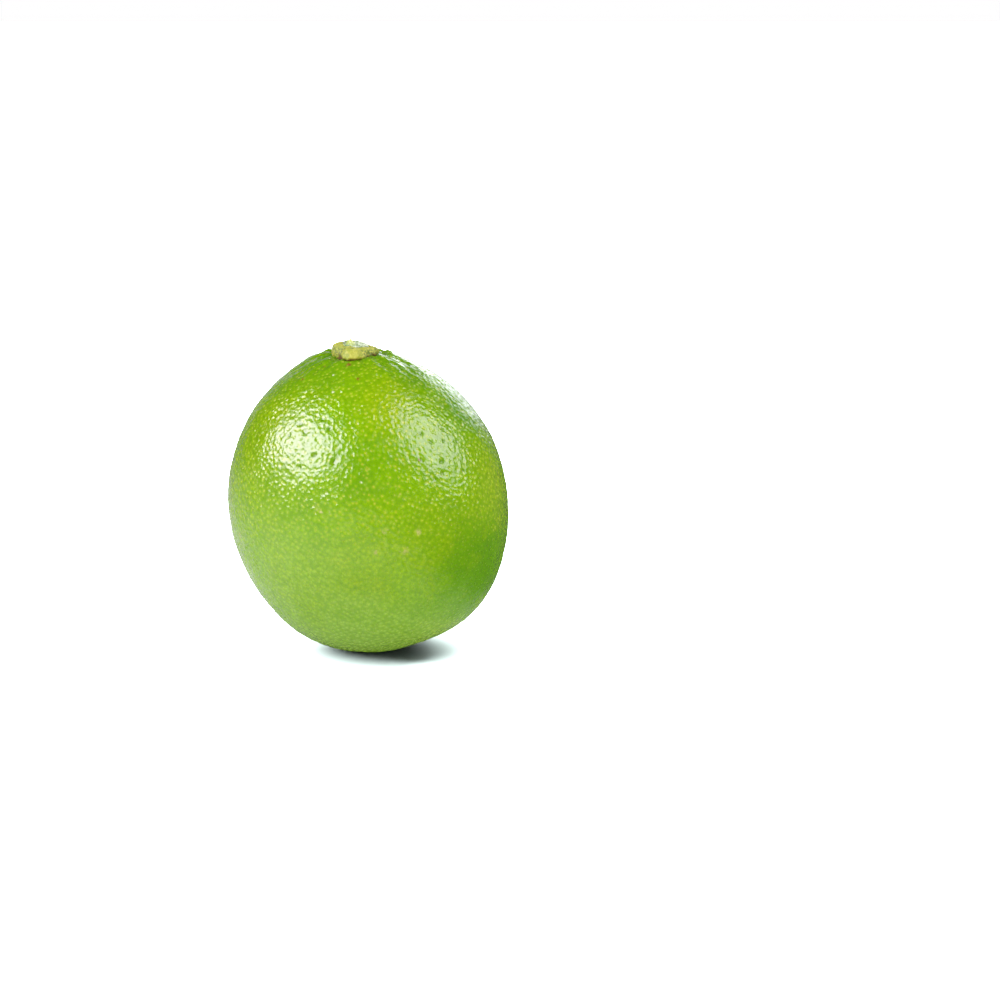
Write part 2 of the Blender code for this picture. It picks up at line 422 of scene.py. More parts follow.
button = {
    "seed": 5,
    "around": 320,
    "radius": 4.75 * mm,
    "shift": (0.60 * mm, 0.0, 0.0),  # it sits a little off the middle of its seat
    "lobes": 5,
    "notchTurn": 235.0,  # degrees, one of the notches
    "notchDepth": 0.42 * mm,
    "notchSharpness": 9,
    "longLobe": (264.0, 27.0, 2.1 * mm),  # turn, half width in degrees, extra reach
    "fineEdge": (0.09, 0.12 * mm),  # lumps of the ragged edge: size on a round of radius 1, reach
    "broadEdge": (0.4, 0.16 * mm),
    "height": 1.62 * mm,  # of the crest above the root
    "crestTilt": (-0.06, -0.08),  # it falls towards +X and climbs towards -Y
    "crestWave": (0.5, 0.30 * mm),
    "crestRadius": 2.95 * mm,
    "wideShoulder": (350.0, 45.0, 0.45 * mm),  # the crest stands further out: turn, half width, reach
    "shoulderEnd": 0.7,  # share of the flank where that ends
    "flankSteps": 34,
    "flankBulge": 3.1,
    "lipTuck": 0.3 * mm,
    "tuckEnd": 0.35,  # share of the height that it goes up to
    "lipSink": 0.12 * mm,
    "lipProbe": 0.97,  # share of the radius where the lip's height is taken from the peel
    "probeHeight": 8.0 * mm,  # and where the look down at it starts
    "underside": (0.0, 0.35, 0.7, 0.93),  # rings below, as shares of the lip's radius
    "undersideLevel": -0.25,
    "hollowRadius": 2.4 * mm,
    "hollowDepth": 1.0 * mm,
    "hollowWall": (0.15, 0.35, 0.6, 0.85, 1.0),  # rings from the crest in
    "hollowFloor": (0.9, 0.75, 0.55, 0.3, 0.0),
    "wallCurve": 2.2,
    "unevenness": (1.5 * mm, 0.26 * mm),
    "roughness": (0.45 * mm, 0.11 * mm),
    "pitCount": 230,
    "pitRadius": (0.13 * mm, 0.26 * mm),
    "pitDepth": (0.05 * mm, 0.14 * mm),
    "pitBand": (0.05, 0.95),  # shares of the height that they lie between
    "pitReach": 0.94,
    # turn, half width in degrees, strength
    "browned": [(236.0, 13.0, 1.0), (318.0, 26.0, 0.4), (268.0, 30.0, 0.35), (60.0, 30.0, 0.5)],
}


def buttonRings():
    # radius and height, as a share from lip 0 to crest 1, from the underside to the hollow
    lip = button["radius"] - button["lipTuck"]
    rings = [(lip * share, button["undersideLevel"]) for share in button["underside"]]
    steps = button["flankSteps"]
    reach = button["radius"] - button["crestRadius"]
    bulge = button["flankBulge"]
    for step in range(steps + 1):
        turn = math.pi / 2 * step / steps
        out = math.cos(turn) ** (2.0 / bulge)
        up = math.sin(turn) ** (2.0 / bulge)
        tuck = button["lipTuck"] * max(0.0, 1.0 - up / button["tuckEnd"]) ** 2
        rings.append((button["crestRadius"] + reach * out - tuck, up))
    drop = button["hollowDepth"] / button["height"]
    crest = button["crestRadius"]
    hollow = button["hollowRadius"]
    for share in button["hollowWall"]:
        rings.append((crest + (hollow - crest) * share, 1.0 - drop * share ** button["wallCurve"]))
    for share in button["hollowFloor"]:
        rings.append((hollow * share, 1.0 - drop))
    return rings


def near(turns, middle, width):
    # 1 where the turn is middle, falling off over width, both in degrees
    off = (np.degrees(turns) - middle + 180.0) % 360.0 - 180.0
    return np.exp(-(off / width) ** 2)


def lobeNotch(turn):
    swing = button["lobes"] * (turn - math.radians(button["notchTurn"])) / 2
    return np.abs(np.cos(swing)) ** button["notchSharpness"]


def onFruit(places):
    # from the button's own frame to the fruit's
    turn = np.array(buttonFrame.to_3x3())
    return (places + np.array(button["shift"])) @ turn.T + np.array(buttonRoot)


def gridMesh(name, grid):
    # closed skin from rings of points, each ring a row; first and last rows meet in one point
    rows, around = grid.shape[:2]
    middle = grid[1:-1].reshape(-1, 3)
    places = np.concatenate([grid[0, :1], middle, grid[-1, :1]])
    faces = []
    last = len(places) - 1
    for step in range(around):
        after = (step + 1) % around
        faces.append((0, 1 + after, 1 + step))
        faces.append((last, last - around + step, last - around + after))
    for row in range(rows - 3):
        base = 1 + row * around
        for step in range(around):
            after = (step + 1) % around
            faces.append((base + step, base + after, base + around + after, base + around + step))
    mesh = bpy.data.meshes.new(name)
    mesh.from_pydata([tuple(p) for p in places], [], faces)
    mesh.update()
    bm = bmesh.new()
    bm.from_mesh(mesh)
    bmesh.ops.recalc_face_normals(bm, faces=bm.faces)
    bm.to_mesh(mesh)
    bm.free()
    mesh.shade_smooth()
    return mesh


def skinUnder(tree, flat):
    # height of the peel over the button's own plane at a point of that plane
    start = buttonFrame @ Vector((flat[0], flat[1], button["probeHeight"]))
    hit = tree.ray_cast(start, -buttonUp)[0]
    return (hit - buttonRoot).dot(buttonUp)


def buttonForm(skin):
    around = button["around"]
    turns = np.arange(around) * math.tau / around
    rim = np.stack([np.cos(turns), np.sin(turns), np.zeros(around)], axis=1)
    fineSize, fineReach = button["fineEdge"]
    broadSize, broadReach = button["broadEdge"]
    ragged = lumps(rim, fineSize, 21) * fineReach + lumps(rim, broadSize, 22) * broadReach
    tiltX, tiltY = button["crestTilt"]
    waveSize, waveHeight = button["crestWave"]
    crest = button["height"] + lumps(rim, waveSize, 23) * waveHeight
    probe = button["radius"] * button["lipProbe"]
    lip = np.array([skinUnder(skin, (probe * math.cos(t), probe * math.sin(t))) for t in turns])
    lip -= button["lipSink"]
    lobeTurn, lobeWidth, lobeReach = button["longLobe"]
    edge = ragged + lobeReach * near(turns, lobeTurn, lobeWidth)
    edge -= button["notchDepth"] * lobeNotch(turns)
    shoulderTurn, shoulderWidth, shoulderReach = button["wideShoulder"]
    shoulder = shoulderReach * near(turns, shoulderTurn, shoulderWidth)
    rows = []
    for out, up in buttonRings():
        share = max(0.0, (out - button["crestRadius"]) / (button["radius"] - button["crestRadius"]))
        inHollow = min(1.0, out / button["hollowRadius"])
        radius = out + share * edge + shoulder * (button["shoulderEnd"] - share) * inHollow
        top = crest + out * (tiltX * np.cos(turns) + tiltY * np.sin(turns))
        height = lip + (top - lip) * up
        rows.append(np.stack([radius * np.cos(turns), radius * np.sin(turns), height], axis=1))
    return gridMesh("stemButton", np.array(rows))


def buttonPits(mesh, places, rng):
    # how deep the pits in its flank are, and a mask for them
    count = button["pitCount"]
    pitTurns = rng.uniform(0.0, math.tau, count)
    pitRises = rng.uniform(*button["pitBand"], count) * button["height"]
    pitOuts = np.full(count, button["radius"] * button["pitReach"])
    pitPlaces = np.stack([pitOuts * np.cos(pitTurns), pitOuts * np.sin(pitTurns), pitRises], axis=1)
    pitSizes = rng.uniform(*button["pitRadius"], count)
    pitDepths = rng.uniform(*button["pitDepth"], count)
    body = treeOf(mesh)
    pitPlaces = np.array([body.find_nearest(Vector(p))[0] for p in pitPlaces])
    pit, off = nearest(pitPlaces, places)
    share = off / pitSizes[pit]
    pitted = np.exp(-share * share)
    return pitDepths[pit] * pitted, pitted


def makeButton():
    rng = np.random.default_rng(button["seed"])
    skin = treeOf(peelSkin.data)
    mesh = buttonForm(skin)
    places = readPlaces(mesh)
    outward = readPlaces(mesh, "normal")
    rise = np.zeros(len(places))
    for seed, scale in enumerate(("unevenness", "roughness"), 31):
        size, height = button[scale]
        rise += lumps(places, size, seed) * height
    pitDepth, pitted = buttonPits(mesh, places, rng)
    places += outward * (rise - pitDepth)[:, None]

    turns = np.arctan2(places[:, 1], places[:, 0])
    browned = sum(much * near(turns, middle, width) for middle, width, much in button["browned"])
    places = onFruit(places)
    writePlaces(mesh, places)
    over = np.array([skin.find_nearest(Vector(p))[3] for p in places])
    paint(mesh, "pit", pitted)
    paint(mesh, "browned", browned)
    paint(mesh, "overSkin", over / mm)
    return newObject("stemButton", mesh)


stalk = {
    "around": 200,
    "rings": 44,
    "radius": 2.65 * mm,
    "outline": (0.45, 0.10),  # it isn't round: size of the waves, how far they go
    "base": 0.6 * mm,  # height of its foot over the button's root
    "foot": 0.3 * mm,  # how far the foot goes down into the button
    "rise": 1.62 * mm,  # of its top
    "edgeStart": 0.16,  # share of the way in over which the side climbs
    "edgeCurve": 0.6,
    "ringCurve": 0.75,  # its rings lie closer together at the side
    "sideRings": 1.1,  # the outermost share of them stand over each other
    "tilt": (-0.13, 0.17),  # the top falls to the right and climbs towards the back
    "peak": (-1.10 * mm, -0.10 * mm, 1.05 * mm, 0.78 * mm),  # torn highest: place, height, width
    "hollow": (-2.2 * mm, 0.0, 0.35 * mm, 0.50 * mm),  # torn out: place, depth, width
    "fibre": (0.42 * mm, 0.20 * mm),  # thickness of the torn fibres, how far they stand
    "fibrePull": 0.3,  # they are drawn out along the stalk
    "fibreRise": 1.6,
    "fineFibre": 0.6,  # fibres half as thick, on top of those
    "tornFrom": 0.6 * mm,  # fibres are full this far over the base
    "shade": (0.1 * mm, 0.6 * mm),  # painted shade below the top, darker further down: from, over
    "knobWidth": 1.3,  # the pale knob, as a share of the peak's width
}


def spotMask(places, spot, grow=1.0):
    atX, atY, _, width = spot
    off = np.hypot(places[:, 0] - atX, places[:, 1] - atY) / (width * grow)
    return np.exp(-off ** 4)


def stalkForm():
    around = stalk["around"]
    turns = np.arange(around) * math.tau / around
    rim = np.stack([np.cos(turns), np.sin(turns), np.zeros(around)], axis=1)
    waveSize, waveShare = stalk["outline"]
    outline = 1.0 + waveShare * lumps(rim, waveSize, 41)
    rows = [np.tile((0.0, 0.0, stalk["base"] - stalk["foot"]), (around, 1))]
    steps = stalk["rings"]
    tiltX, tiltY = stalk["tilt"]
    for step in range(steps + 1):
        share = 1.0 - step / steps
        radius = stalk["radius"] * outline * min(1.0, share * stalk["sideRings"]) ** stalk["ringCurve"]
        x = radius * np.cos(turns)
        y = radius * np.sin(turns)
        top = stalk["rise"] + tiltX * x + tiltY * y
        for (atX, atY, height, width), sign in ((stalk["peak"], 1.0), (stalk["hollow"], -1.0)):
            off = np.hypot(x - atX, y - atY) / width
            top = top + sign * height * np.exp(-off * off)
        climb = min(1.0, (1.0 - share) / stalk["edgeStart"]) ** stalk["edgeCurve"]
        rows.append(np.stack([x, y, stalk["base"] + (top - stalk["base"]) * climb], axis=1))
    return gridMesh("stalkScar", np.array(rows))


def makeStalk():
    mesh = stalkForm()
    places = readPlaces(mesh)
    size, height = stalk["fibre"]
    drawn = places * np.array([1.0, 1.0, stalk["fibrePull"]])
    torn = np.clip((places[:, 2] - stalk["base"]) / stalk["tornFrom"], 0.0, 1.0)
    rise = lumps(drawn, size, 42) + stalk["fineFibre"] * lumps(drawn, size / 2, 43)
    places[:, 2] += rise * height * torn * stalk["fibreRise"]
    places[:, 0] += lumps(drawn, size, 44) * height * torn
    places[:, 1] += lumps(drawn, size, 45) * height * torn
    # painted shade: darker below the top and in the torn-out hollow
    shadeStart, shadeSpan = stalk["shade"]
    deep = np.clip((stalk["rise"] - shadeStart - places[:, 2]) / shadeSpan, 0.0, 1.0)
    deep = np.maximum(deep, spotMask(places, stalk["hollow"]))
    knob = spotMask(places, stalk["peak"], stalk["knobWidth"])
    writePlaces(mesh, onFruit(places))
    paint(mesh, "deep", deep)
    paint(mesh, "knob", knob)
    return newObject("stalkScar", mesh)


stemButton = makeButton()
stalkScar = makeStalk()
print("button and stalk scar shaped")


# materials: helpers, then the two groups that they share

def newMaterial(name):
    material = bpy.data.materials.new(name)
    material.use_nodes = True
    material.node_tree.nodes.clear()
    return material, material.node_tree


def addNode(tree, kind, **settings):
    node = tree.nodes.new(kind)
    for key, value in settings.items():
        setattr(node, key, value)
    return node


def feed(tree, source, target):
    # source is a socket or a plain value
    if isinstance(source, bpy.types.NodeSocket):
        tree.links.new(source, target)
    else:
        target.default_value = source


def colour(r, g, b):
    return (r, g, b, 1.0)


def mixColours(tree, share, first, second):
    node = addNode(tree, "ShaderNodeMix", data_type="RGBA")
    feed(tree, share, node.inputs["Factor"])
    feed(tree, first, node.inputs[6])
    feed(tree, second, node.inputs[7])
    return node.outputs[2]


def reckon(tree, operation, first, second, clamp=False):
    node = addNode(tree, "ShaderNodeMath", operation=operation, use_clamp=clamp)
    feed(tree, first, node.inputs[0])
    feed(tree, second, node.inputs[1])
    return node.outputs[0]


def times(tree, first, second):
    return reckon(tree, "MULTIPLY", first, second)


def spread(tree, value, low, high, toLow=0.0, toHigh=1.0, smooth=True):
    node = addNode(tree, "ShaderNodeMapRange", interpolation_type="SMOOTHSTEP" if smooth else "LINEAR")
    feed(tree, value, node.inputs["Value"])
    node.inputs["From Min"].default_value = low
    node.inputs["From Max"].default_value = high
    node.inputs["To Min"].default_value = toLow
    node.inputs["To Max"].default_value = toHigh
    return node.outputs["Result"]


def layer(tree, name):
    return addNode(tree, "ShaderNodeAttribute", attribute_name=name).outputs["Fac"]


def newGroup(name, inputs, outputs):
    # inputs are names with their usual values, outputs are names
    tree = bpy.data.node_groups.new(name, "ShaderNodeTree")
    for label, value in inputs.items():
        socket = tree.interface.new_socket(name=label, in_out="INPUT", socket_type="NodeSocketFloat")
        socket.default_value = value
    for label in outputs:
        tree.interface.new_socket(name=label, in_out="OUTPUT", socket_type="NodeSocketFloat")
    return tree, tree.nodes.new("NodeGroupInput"), tree.nodes.new("NodeGroupOutput")


def placeGroup(tree, group, **values):
    node = addNode(tree, "ShaderNodeGroup", node_tree=group)
    for label, value in values.items():
        feed(tree, value, node.inputs[label])
    return node


def patchGroup():
    # soft patches: a mask from 0 to 1 with patches of Size millimetres
    usual = {"Size": 8.0, "Low": 0.4, "High": 0.6, "Shift": 0.0}
    tree, given, result = newGroup("softPatches", usual, ["Mask"])
    pattern = addNode(tree, "ShaderNodeTexNoise", noise_dimensions="4D")
    pattern.inputs["Detail"].default_value = 3.0
    feed(tree, addNode(tree, "ShaderNodeTexCoord").outputs["Object"], pattern.inputs["Vector"])
    feed(tree, reckon(tree, "DIVIDE", 1.0 / mm, given.outputs["Size"]), pattern.inputs["Scale"])
    feed(tree, given.outputs["Shift"], pattern.inputs["W"])
    fadeIn = addNode(tree, "ShaderNodeMapRange", interpolation_type="SMOOTHSTEP")
    feed(tree, pattern.outputs[0], fadeIn.inputs["Value"])
    feed(tree, given.outputs["Low"], fadeIn.inputs["From Min"])
    feed(tree, given.outputs["High"], fadeIn.inputs["From Max"])
    feed(tree, fadeIn.outputs["Result"], result.inputs["Mask"])
    return tree


def grainGroup():
    # fine skin grain: a height and a mask, with grains of Size millimetres, drawn out along Z by Stretch
    tree, given, result = newGroup("skinGrain", {"Size": 0.3, "Stretch": 1.0}, ["Height", "Mask"])
    axes = addNode(tree, "ShaderNodeCombineXYZ")
    axes.inputs[0].default_value = 1.0
    axes.inputs[1].default_value = 1.0
    feed(tree, given.outputs["Stretch"], axes.inputs[2])
    pull = addNode(tree, "ShaderNodeVectorMath", operation="MULTIPLY")
    feed(tree, addNode(tree, "ShaderNodeTexCoord").outputs["Object"], pull.inputs[0])
    feed(tree, axes.outputs[0], pull.inputs[1])
    pattern = addNode(tree, "ShaderNodeTexNoise")
    pattern.inputs["Detail"].default_value = 2.0
    feed(tree, pull.outputs[0], pattern.inputs["Vector"])
    feed(tree, reckon(tree, "DIVIDE", 1.0 / mm, given.outputs["Size"]), pattern.inputs["Scale"])
    feed(tree, pattern.outputs[0], result.inputs["Height"])
    feed(tree, spread(tree, pattern.outputs[0], 0.42, 0.62), result.inputs["Mask"])
    return tree


softPatches = patchGroup()
skinGrain = grainGroup()


def patches(tree, facts):
    return placeGroup(tree, softPatches, **facts).outputs["Mask"]


def addBump(tree, shader, height, depth):
    bump = addNode(tree, "ShaderNodeBump")
    bump.inputs["Distance"].default_value = depth
    feed(tree, height, bump.inputs["Height"])
    feed(tree, bump.outputs[0], shader.inputs["Normal"])


def finishMaterial(tree, shader):
    out = addNode(tree, "ShaderNodeOutputMaterial")
    tree.links.new(shader.outputs[0], out.inputs["Surface"])


peelLook = {
    "green": colour(0.262, 0.470, 0.001),
    "deepGreen": colour(0.105, 0.275, 0.001),
    "yellowGreen": colour(0.340, 0.460, 0.001),
    "paleGreen": colour(0.390, 0.620, 0.110),
    "orangeGland": colour(0.520, 0.440, 0.004),
    "paleGland": colour(0.580, 0.630, 0.050),
    "pitShadeGreen": colour(0.090, 0.230, 0.002),
    "brown": colour(0.230, 0.060, 0.015),
    "scar": colour(0.520, 0.480, 0.150),
    "paleDot": colour(0.850, 0.850, 0.600),
    # patches: size in millimetres, where the noise starts and ends them, which pattern
    "broadPatches": {"Size": 9.0, "Low": 0.36, "High": 0.64, "Shift": 1.0},
    "smallPatches": {"Size": 3.0, "Low": 0.35, "High": 0.65, "Shift": 7.0},
    "finePatches": {"Size": 0.8, "Low": 0.35, "High": 0.65, "Shift": 12.0},
    "yellowPatches": {"Size": 5.0, "Low": 0.52, "High": 0.70, "Shift": 4.0},
    "deepBroad": 0.22,  # how much of the deep green each of them brings
    "deepSmall": 0.20,
    "deepFine": 0.30,
    # painted shade round the button, mixed in as deep green
    "buttonShadeMuch": 0.45,
    "deepBetween": 0.36,  # between the glands
    "betweenFrom": 0.7,  # where a gland's halo has fallen to this
    "yellowMuch": 0.25,
    "paleLeast": 0.65,  # the pale patches are broken up down to this
    "glandShow": (0.10, 1.0, 0.0, 0.68),  # glands of this shade range show from nothing to this much
    "warmLeast": 0.3,
    # how much painted shade the pits take
    "pitMuch": 0.8,
    "fleckMuch": 0.8,
    "scuffBreak": (0.2, 0.9, 0.15, 0.75),  # fine patches of this range take it from faint to strong
    "roughness": (0.08, 0.14),
    "dullGland": 0.30,  # how much rougher a gland is than the skin round it
    "dullGrain": (0.3, 0.6),
    "coat": (0.30, 0.05),  # on clear skin, on dull skin
    "coatRoughness": 0.08,
    "grain": {"Size": 0.38, "Stretch": 1.0},
    "grainDepth": 0.09 * mm,
    "subsurface": 0.08,
    "subsurfaceRadius": (0.6, 1.0, 0.15),
    "subsurfaceDepth": 0.8 * mm,
}


def peelColour(tree, fine, small, scuff):
    # deep green and painted shade, then yellow and pale patches, then glands, pits and marks
    look = peelLook
    # deep green patches, partly painted shade low on the right
    deep = reckon(tree, "ADD", layer(tree, "deepAndShadeTint"),
                  times(tree, patches(tree, look["broadPatches"]), look["deepBroad"]))
    deep = reckon(tree, "ADD", deep, times(tree, small, look["deepSmall"]))
    # painted shade on the skin round the button
    deep = reckon(tree, "ADD", deep, times(tree, layer(tree, "buttonShade"), look["buttonShadeMuch"]), clamp=True)
    skin = mixColours(tree, deep, look["green"], look["deepGreen"])
    # yellow patches, partly painted light at one spot low on the right
    yellow = times(tree, patches(tree, look["yellowPatches"]), look["yellowMuch"])
    yellow = reckon(tree, "ADD", layer(tree, "yellowTint"), yellow, clamp=True)
    skin = mixColours(tree, yellow, skin, look["yellowGreen"])
    # pale patches, partly painted light low down
    pale = times(tree, layer(tree, "paleAndTableLight"), spread(tree, fine, 0.0, 1.0, look["paleLeast"], 1.0))
    skin = mixColours(tree, pale, skin, look["paleGreen"])
    skin = mixColours(tree, times(tree, fine, look["deepFine"]), skin, look["deepGreen"])
    between = spread(tree, layer(tree, "glandHalo"), 0.0, look["betweenFrom"], 1.0, 0.0)
    skin = mixColours(tree, times(tree, between, look["deepBetween"]), skin, look["deepGreen"])

    shade = spread(tree, layer(tree, "glandShade"), *look["glandShow"], smooth=False)
    warm = times(tree, layer(tree, "warmDots"), spread(tree, fine, 0.0, 1.0, 1.0, look["warmLeast"]))
    gland = mixColours(tree, warm, look["paleGland"], look["orangeGland"])
    skin = mixColours(tree, times(tree, layer(tree, "glandDot"), shade), skin, gland)
    # painted shade in the pits: the deeper the pit, the darker
    skin = mixColours(tree, times(tree, layer(tree, "pit"), look["pitMuch"]), skin, look["pitShadeGreen"])
    skin = mixColours(tree, scuff, skin, look["scar"])
    skin = mixColours(tree, layer(tree, "paleDot"), skin, look["paleDot"])
    skin = mixColours(tree, times(tree, layer(tree, "fleck"), look["fleckMuch"]), skin, look["brown"])
    return mixColours(tree, layer(tree, "tipScar"), skin, look["brown"])


def peelMaterial():
    look = peelLook
    material, tree = newMaterial("limePeel")
    small = patches(tree, look["smallPatches"])
    fine = patches(tree, look["finePatches"])
    grain = placeGroup(tree, skinGrain, **look["grain"]).outputs["Height"]
    scuff = times(tree, layer(tree, "scuff"), spread(tree, fine, *look["scuffBreak"]))
    shader = addNode(tree, "ShaderNodeBsdfPrincipled")
    feed(tree, peelColour(tree, fine, small, scuff), shader.inputs["Base Color"])
    # scuffs and glands are duller than clear skin
    dull = times(tree, layer(tree, "glandDot"), spread(tree, grain, *look["dullGrain"]))
    dull = reckon(tree, "MAXIMUM", scuff, dull)
    gloss = spread(tree, small, 0.0, 1.0, *look["roughness"])
    gloss = reckon(tree, "ADD", gloss, times(tree, dull, look["dullGland"]))
    feed(tree, gloss, shader.inputs["Roughness"])
    feed(tree, spread(tree, dull, 0.0, 1.0, *look["coat"]), shader.inputs["Coat Weight"])
    shader.inputs["Coat Roughness"].default_value = look["coatRoughness"]
    shader.inputs["Subsurface Weight"].default_value = look["subsurface"]
    shader.inputs["Subsurface Radius"].default_value = look["subsurfaceRadius"]
    shader.inputs["Subsurface Scale"].default_value = look["subsurfaceDepth"]
    addBump(tree, shader, grain, look["grainDepth"])
    finishMaterial(tree, shader)
    return material


buttonLook = {
    "khaki": colour(0.415, 0.430, 0.021),
    "olive": colour(0.230, 0.340, 0.018),
    "straw": colour(0.540, 0.530, 0.075),
    "brown": colour(0.190, 0.105, 0.012),
    "pit": colour(0.070, 0.150, 0.010),
    "olivePatches": {"Size": 1.3, "Low": 0.42, "High": 0.62, "Shift": 2.0},
    "strawPatches": {"Size": 0.7, "Low": 0.46, "High": 0.66, "Shift": 5.0},
    "oliveMuch": 0.55,
    "edgeBreak": 0.5,  # how far the patches break up the brown edge, in millimetres over the skin
    "edgeFade": (0.45, -0.15),  # none of it up here, all of it down here
    "pitMuch": 0.85,
    "roughness": (0.55, 0.8),
    "grain": {"Size": 0.16, "Stretch": 1.0},
    "grainDepth": 0.06 * mm,
}


def buttonMaterial():
    look = buttonLook
    material, tree = newMaterial("dryCalyx")
    olive = patches(tree, look["olivePatches"])
    grain = placeGroup(tree, skinGrain, **look["grain"])
    skin = mixColours(tree, times(tree, olive, look["oliveMuch"]), look["khaki"], look["olive"])
    skin = mixColours(tree, patches(tree, look["strawPatches"]), skin, look["straw"])
    over = reckon(tree, "ADD", layer(tree, "overSkin"), times(tree, olive, look["edgeBreak"]))
    over = reckon(tree, "SUBTRACT", over, layer(tree, "browned"))
    skin = mixColours(tree, spread(tree, over, *look["edgeFade"]), skin, look["brown"])
    skin = mixColours(tree, times(tree, layer(tree, "pit"), look["pitMuch"]), skin, look["pit"])
    shader = addNode(tree, "ShaderNodeBsdfPrincipled")
    feed(tree, skin, shader.inputs["Base Color"])
    rough = spread(tree, grain.outputs["Mask"], 0.0, 1.0, *look["roughness"])
    feed(tree, rough, shader.inputs["Roughness"])
    addBump(tree, shader, grain.outputs["Height"], look["grainDepth"])
    finishMaterial(tree, shader)
    return material


stalkLook = {
    "pith": colour(0.700, 0.780, 0.580),
    "green": colour(0.230, 0.370, 0.110),
    "knob": colour(0.620, 0.700, 0.150),
    # painted shade in the hollow
    "hollowShade": colour(0.020, 0.030, 0.008),
    "greenPatches": {"Size": 0.9, "Low": 0.42, "High": 0.60, "Shift": 3.0},
    "knobMuch": 0.8,
    "roughness": (0.25, 0.5),
    "grain": {"Size": 0.14, "Stretch": 0.3},
    "grainDepth": 0.06 * mm,
}


def stalkMaterial():
    look = stalkLook
    material, tree = newMaterial("tornStalk")
    grain = placeGroup(tree, skinGrain, **look["grain"])
    skin = mixColours(tree, patches(tree, look["greenPatches"]), look["pith"], look["green"])
    skin = mixColours(tree, times(tree, layer(tree, "knob"), look["knobMuch"]), skin, look["knob"])
    # painted shade below the top and in the hollow
    skin = mixColours(tree, layer(tree, "deep"), skin, look["hollowShade"])
    shader = addNode(tree, "ShaderNodeBsdfPrincipled")
    feed(tree, skin, shader.inputs["Base Color"])
    rough = spread(tree, grain.outputs["Mask"], 0.0, 1.0, *look["roughness"])
    feed(tree, rough, shader.inputs["Roughness"])
    addBump(tree, shader, grain.outputs["Height"], look["grainDepth"])
    finishMaterial(tree, shader)
    return material


peelSkin.data.materials.append(peelMaterial())
stemButton.data.materials.append(buttonMaterial())
stalkScar.data.materials.append(stalkMaterial())
print("materials made")

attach(peelSkin, "root")
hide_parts("fruit")
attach(stemButton, "root")
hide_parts("stem_button")
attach(stalkScar, "root")


# studio: white table, soft boxes, camera

studio = {
    "floorSize": 60.0,
    "floorSeen": colour(0.185, 0.220, 0.212),  # overlit to white, with a little blue left in the shadow
    "floorBounce": 0.0276,  # how white it is as it lights the fruit
    "floorShine": 0.0276,  # and as the gloss of the skin mirrors it
    "rightShine": (18.0 * mm, 42.0 * mm, 0.0029),  # painted shade: the skin mirrors it darker to the right: from, to, how white
    "leftShine": (-60.0 * mm, -200.0 * mm, 0.0124),  # and to the left
    "floorRoughness": 0.5,
    "skyLight": 0.76,  # how much the surroundings light things
    "skyBehind": 0.66,  # how bright they look in a reflection, straight behind the fruit
    "skyFront": 0.016,  # and on the camera's side
    "skyFade": (0.80, 0.98),  # from the one to the other, as shares of straight behind
    "boxDistance": 0.55,
    "tableGlow": (Vector((0.10, 0.50, -0.86)), 0.8, 4.5),  # way, size, brightness
    "tableSun": (Vector((-0.32, 0.48, 0.82)), 132.0, 110.0),  # way, width in degrees, strength
}

# boxes seen only in the gloss of the skin: way from the fruit, width, height, brightness, colour
glossBoxes = {
    "leftBox": (Vector((-0.710, -0.355, 0.608)), 0.60, 0.36, 12.0, (0.95, 0.76, 1.0)),
    "rightBox": (Vector((0.740, -0.150, 0.656)), 0.40, 0.52, 5.8, (0.95, 0.76, 1.0)),
    "backBox": (Vector((0.26, 0.91, 0.30)), 0.36, 0.18, 3.0, (0.94, 0.97, 1.0)),
}

# boxes that only light it
fillBoxes = {
    "leftFill": (Vector((-0.78, -0.52, 0.32)), 0.70, 0.70, 1.75),
    "lowFill": (Vector((-0.20, -0.95, 0.02)), 0.50, 0.40, 0.9),
    "rightFill": (Vector((0.60, -0.65, 0.46)), 0.70, 0.70, 1.45),
}

cameraSettings = {
    "lens": 100.0,
    "elevation": 10.0,  # degrees above the table
    "distance": 557.8 * mm,
    "aim": Vector((26.15 * mm, 0.0, 29.97 * mm)),  # right of the fruit, so that it stands left in view
}


def makeFloor():
    bm = bmesh.new()
    bmesh.ops.create_grid(bm, x_segments=1, y_segments=1, size=studio["floorSize"] / 2)
    mesh = bpy.data.meshes.new("table")
    bm.to_mesh(mesh)
    bm.free()
    floor = newObject("table", mesh)
    material, tree = newMaterial("whiteTable")
    shader = addNode(tree, "ShaderNodeBsdfPrincipled")
    rays = addNode(tree, "ShaderNodeLightPath")
    place = addNode(tree, "ShaderNodeSeparateXYZ")
    feed(tree, addNode(tree, "ShaderNodeTexCoord").outputs["Object"], place.inputs[0])
    # what the gloss of the skin mirrors of the table, darker to each side; to the right it is painted
    # shade
    shines = []
    for side in ("rightShine", "leftShine"):
        start, end, faded = studio[side]
        shines.append(spread(tree, place.outputs["X"], start, end, studio["floorShine"], faded))
    shine = reckon(tree, "MINIMUM", *shines)
    bounce = colour(*[studio["floorBounce"]] * 3)
    white = mixColours(tree, rays.outputs["Is Glossy Ray"], bounce, shine)
    white = mixColours(tree, rays.outputs["Is Camera Ray"], white, studio["floorSeen"])
    feed(tree, white, shader.inputs["Base Color"])
    shader.inputs["Roughness"].default_value = studio["floorRoughness"]
    shader.inputs["Specular IOR Level"].default_value = 0.0
    finishMaterial(tree, shader)
    mesh.materials.append(material)
    return floor


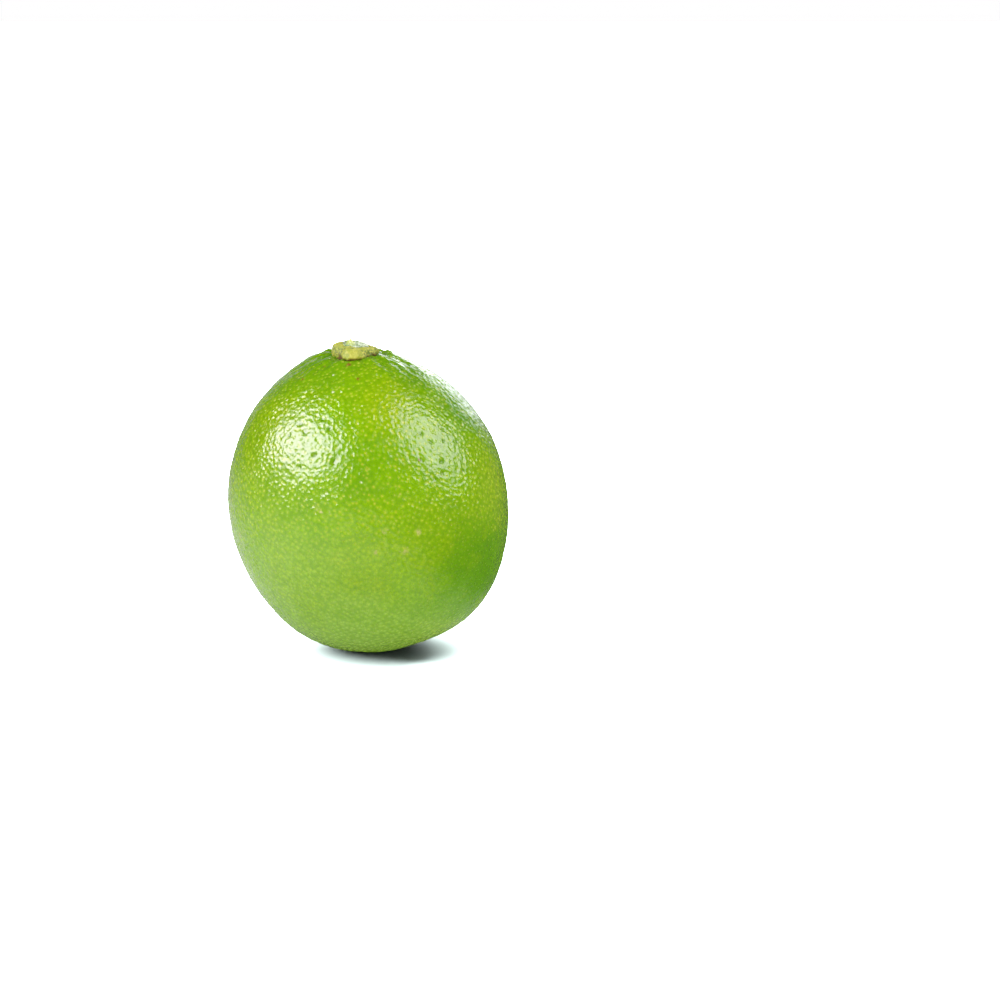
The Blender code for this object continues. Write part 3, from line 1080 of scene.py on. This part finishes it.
def makeBox(name, way, width, height, brightness):
    # an oval lamp that faces the fruit; its power follows from its size and how bright it looks
    lamp = bpy.data.lights.new(name, "AREA")
    lamp.shape = "ELLIPSE"
    lamp.size = width
    lamp.size_y = height
    lamp.energy = brightness * (math.pi / 2) ** 2 * width * height
    made = newObject(name, lamp)
    made.location = core + way.normalized() * studio["boxDistance"]
    made.rotation_euler = way.to_track_quat("Z", "Y").to_euler()
    made.visible_camera = False
    return made


def makeTableSun(floor):
    # lights the table alone, from all round overhead
    way, width, strength = studio["tableSun"]
    lamp = bpy.data.lights.new("tableSun", "SUN")
    lamp.angle = math.radians(width)
    lamp.energy = strength
    made = newObject("tableSun", lamp)
    made.rotation_euler = way.to_track_quat("Z", "Y").to_euler()
    made.visible_glossy = False
    only = bpy.data.collections.new("tableOnly")
    only.objects.link(floor)
    made.light_linking.receiver_collection = only


def makeTableGlow(fruitOnly):
    # light sent up by the table round the foot, which the table itself doesn't block
    way, size, brightness = studio["tableGlow"]
    made = makeBox("tableGlow", way, size, size, brightness)
    made.visible_glossy = False
    made.data.cycles.max_bounces = 0
    made.light_linking.receiver_collection = fruitOnly
    made.light_linking.blocker_collection = fruitOnly


def makeSky():
    world = bpy.data.worlds.new("studio")
    world.cycles.sampling_method = "NONE"
    bpy.context.scene.world = world
    world.use_nodes = True
    tree = world.node_tree
    tree.nodes.clear()
    place = addNode(tree, "ShaderNodeSeparateXYZ")
    feed(tree, addNode(tree, "ShaderNodeTexCoord").outputs["Generated"], place.inputs[0])
    fadeStart, fadeEnd = studio["skyFade"]
    level = spread(tree, place.outputs["Y"], fadeStart, fadeEnd, studio["skyFront"], studio["skyBehind"])
    rays = addNode(tree, "ShaderNodeLightPath")
    glossy = times(tree, rays.outputs["Is Glossy Ray"], level)
    lit = times(tree, rays.outputs["Is Diffuse Ray"], studio["skyLight"])
    bright = reckon(tree, "MAXIMUM", reckon(tree, "ADD", glossy, lit), rays.outputs["Is Camera Ray"])
    background = addNode(tree, "ShaderNodeBackground")
    background.inputs["Color"].default_value = colour(1.0, 1.0, 1.0)
    feed(tree, bright, background.inputs["Strength"])
    out = addNode(tree, "ShaderNodeOutputWorld")
    tree.links.new(background.outputs[0], out.inputs["Surface"])


def makeCamera():
    data = bpy.data.cameras.new("camera")
    data.lens = cameraSettings["lens"]
    made = newObject("camera", data)
    tilt = math.radians(cameraSettings["elevation"])
    back = Vector((0.0, -math.cos(tilt), math.sin(tilt)))
    made.location = cameraSettings["aim"] + back * cameraSettings["distance"]
    made.rotation_euler = back.to_track_quat("Z", "Y").to_euler()
    bpy.context.scene.camera = made


fruitOnly = bpy.data.collections.new("fruitOnly")
for piece in (peelSkin, stemButton, stalkScar):
    fruitOnly.objects.link(piece)
makeTableSun(makeFloor())
for boxName, (*boxFacts, boxColour) in glossBoxes.items():
    glossBox = makeBox(boxName, *boxFacts)
    glossBox.visible_diffuse = False
    glossBox.data.color = boxColour
for boxName, boxFacts in fillBoxes.items():
    fill = makeBox(boxName, *boxFacts)
    fill.visible_glossy = False
    fill.light_linking.receiver_collection = fruitOnly
makeTableGlow(fruitOnly)
makeSky()
makeCamera()
bpy.context.scene.view_settings.view_transform = "Standard"
print("studio set")
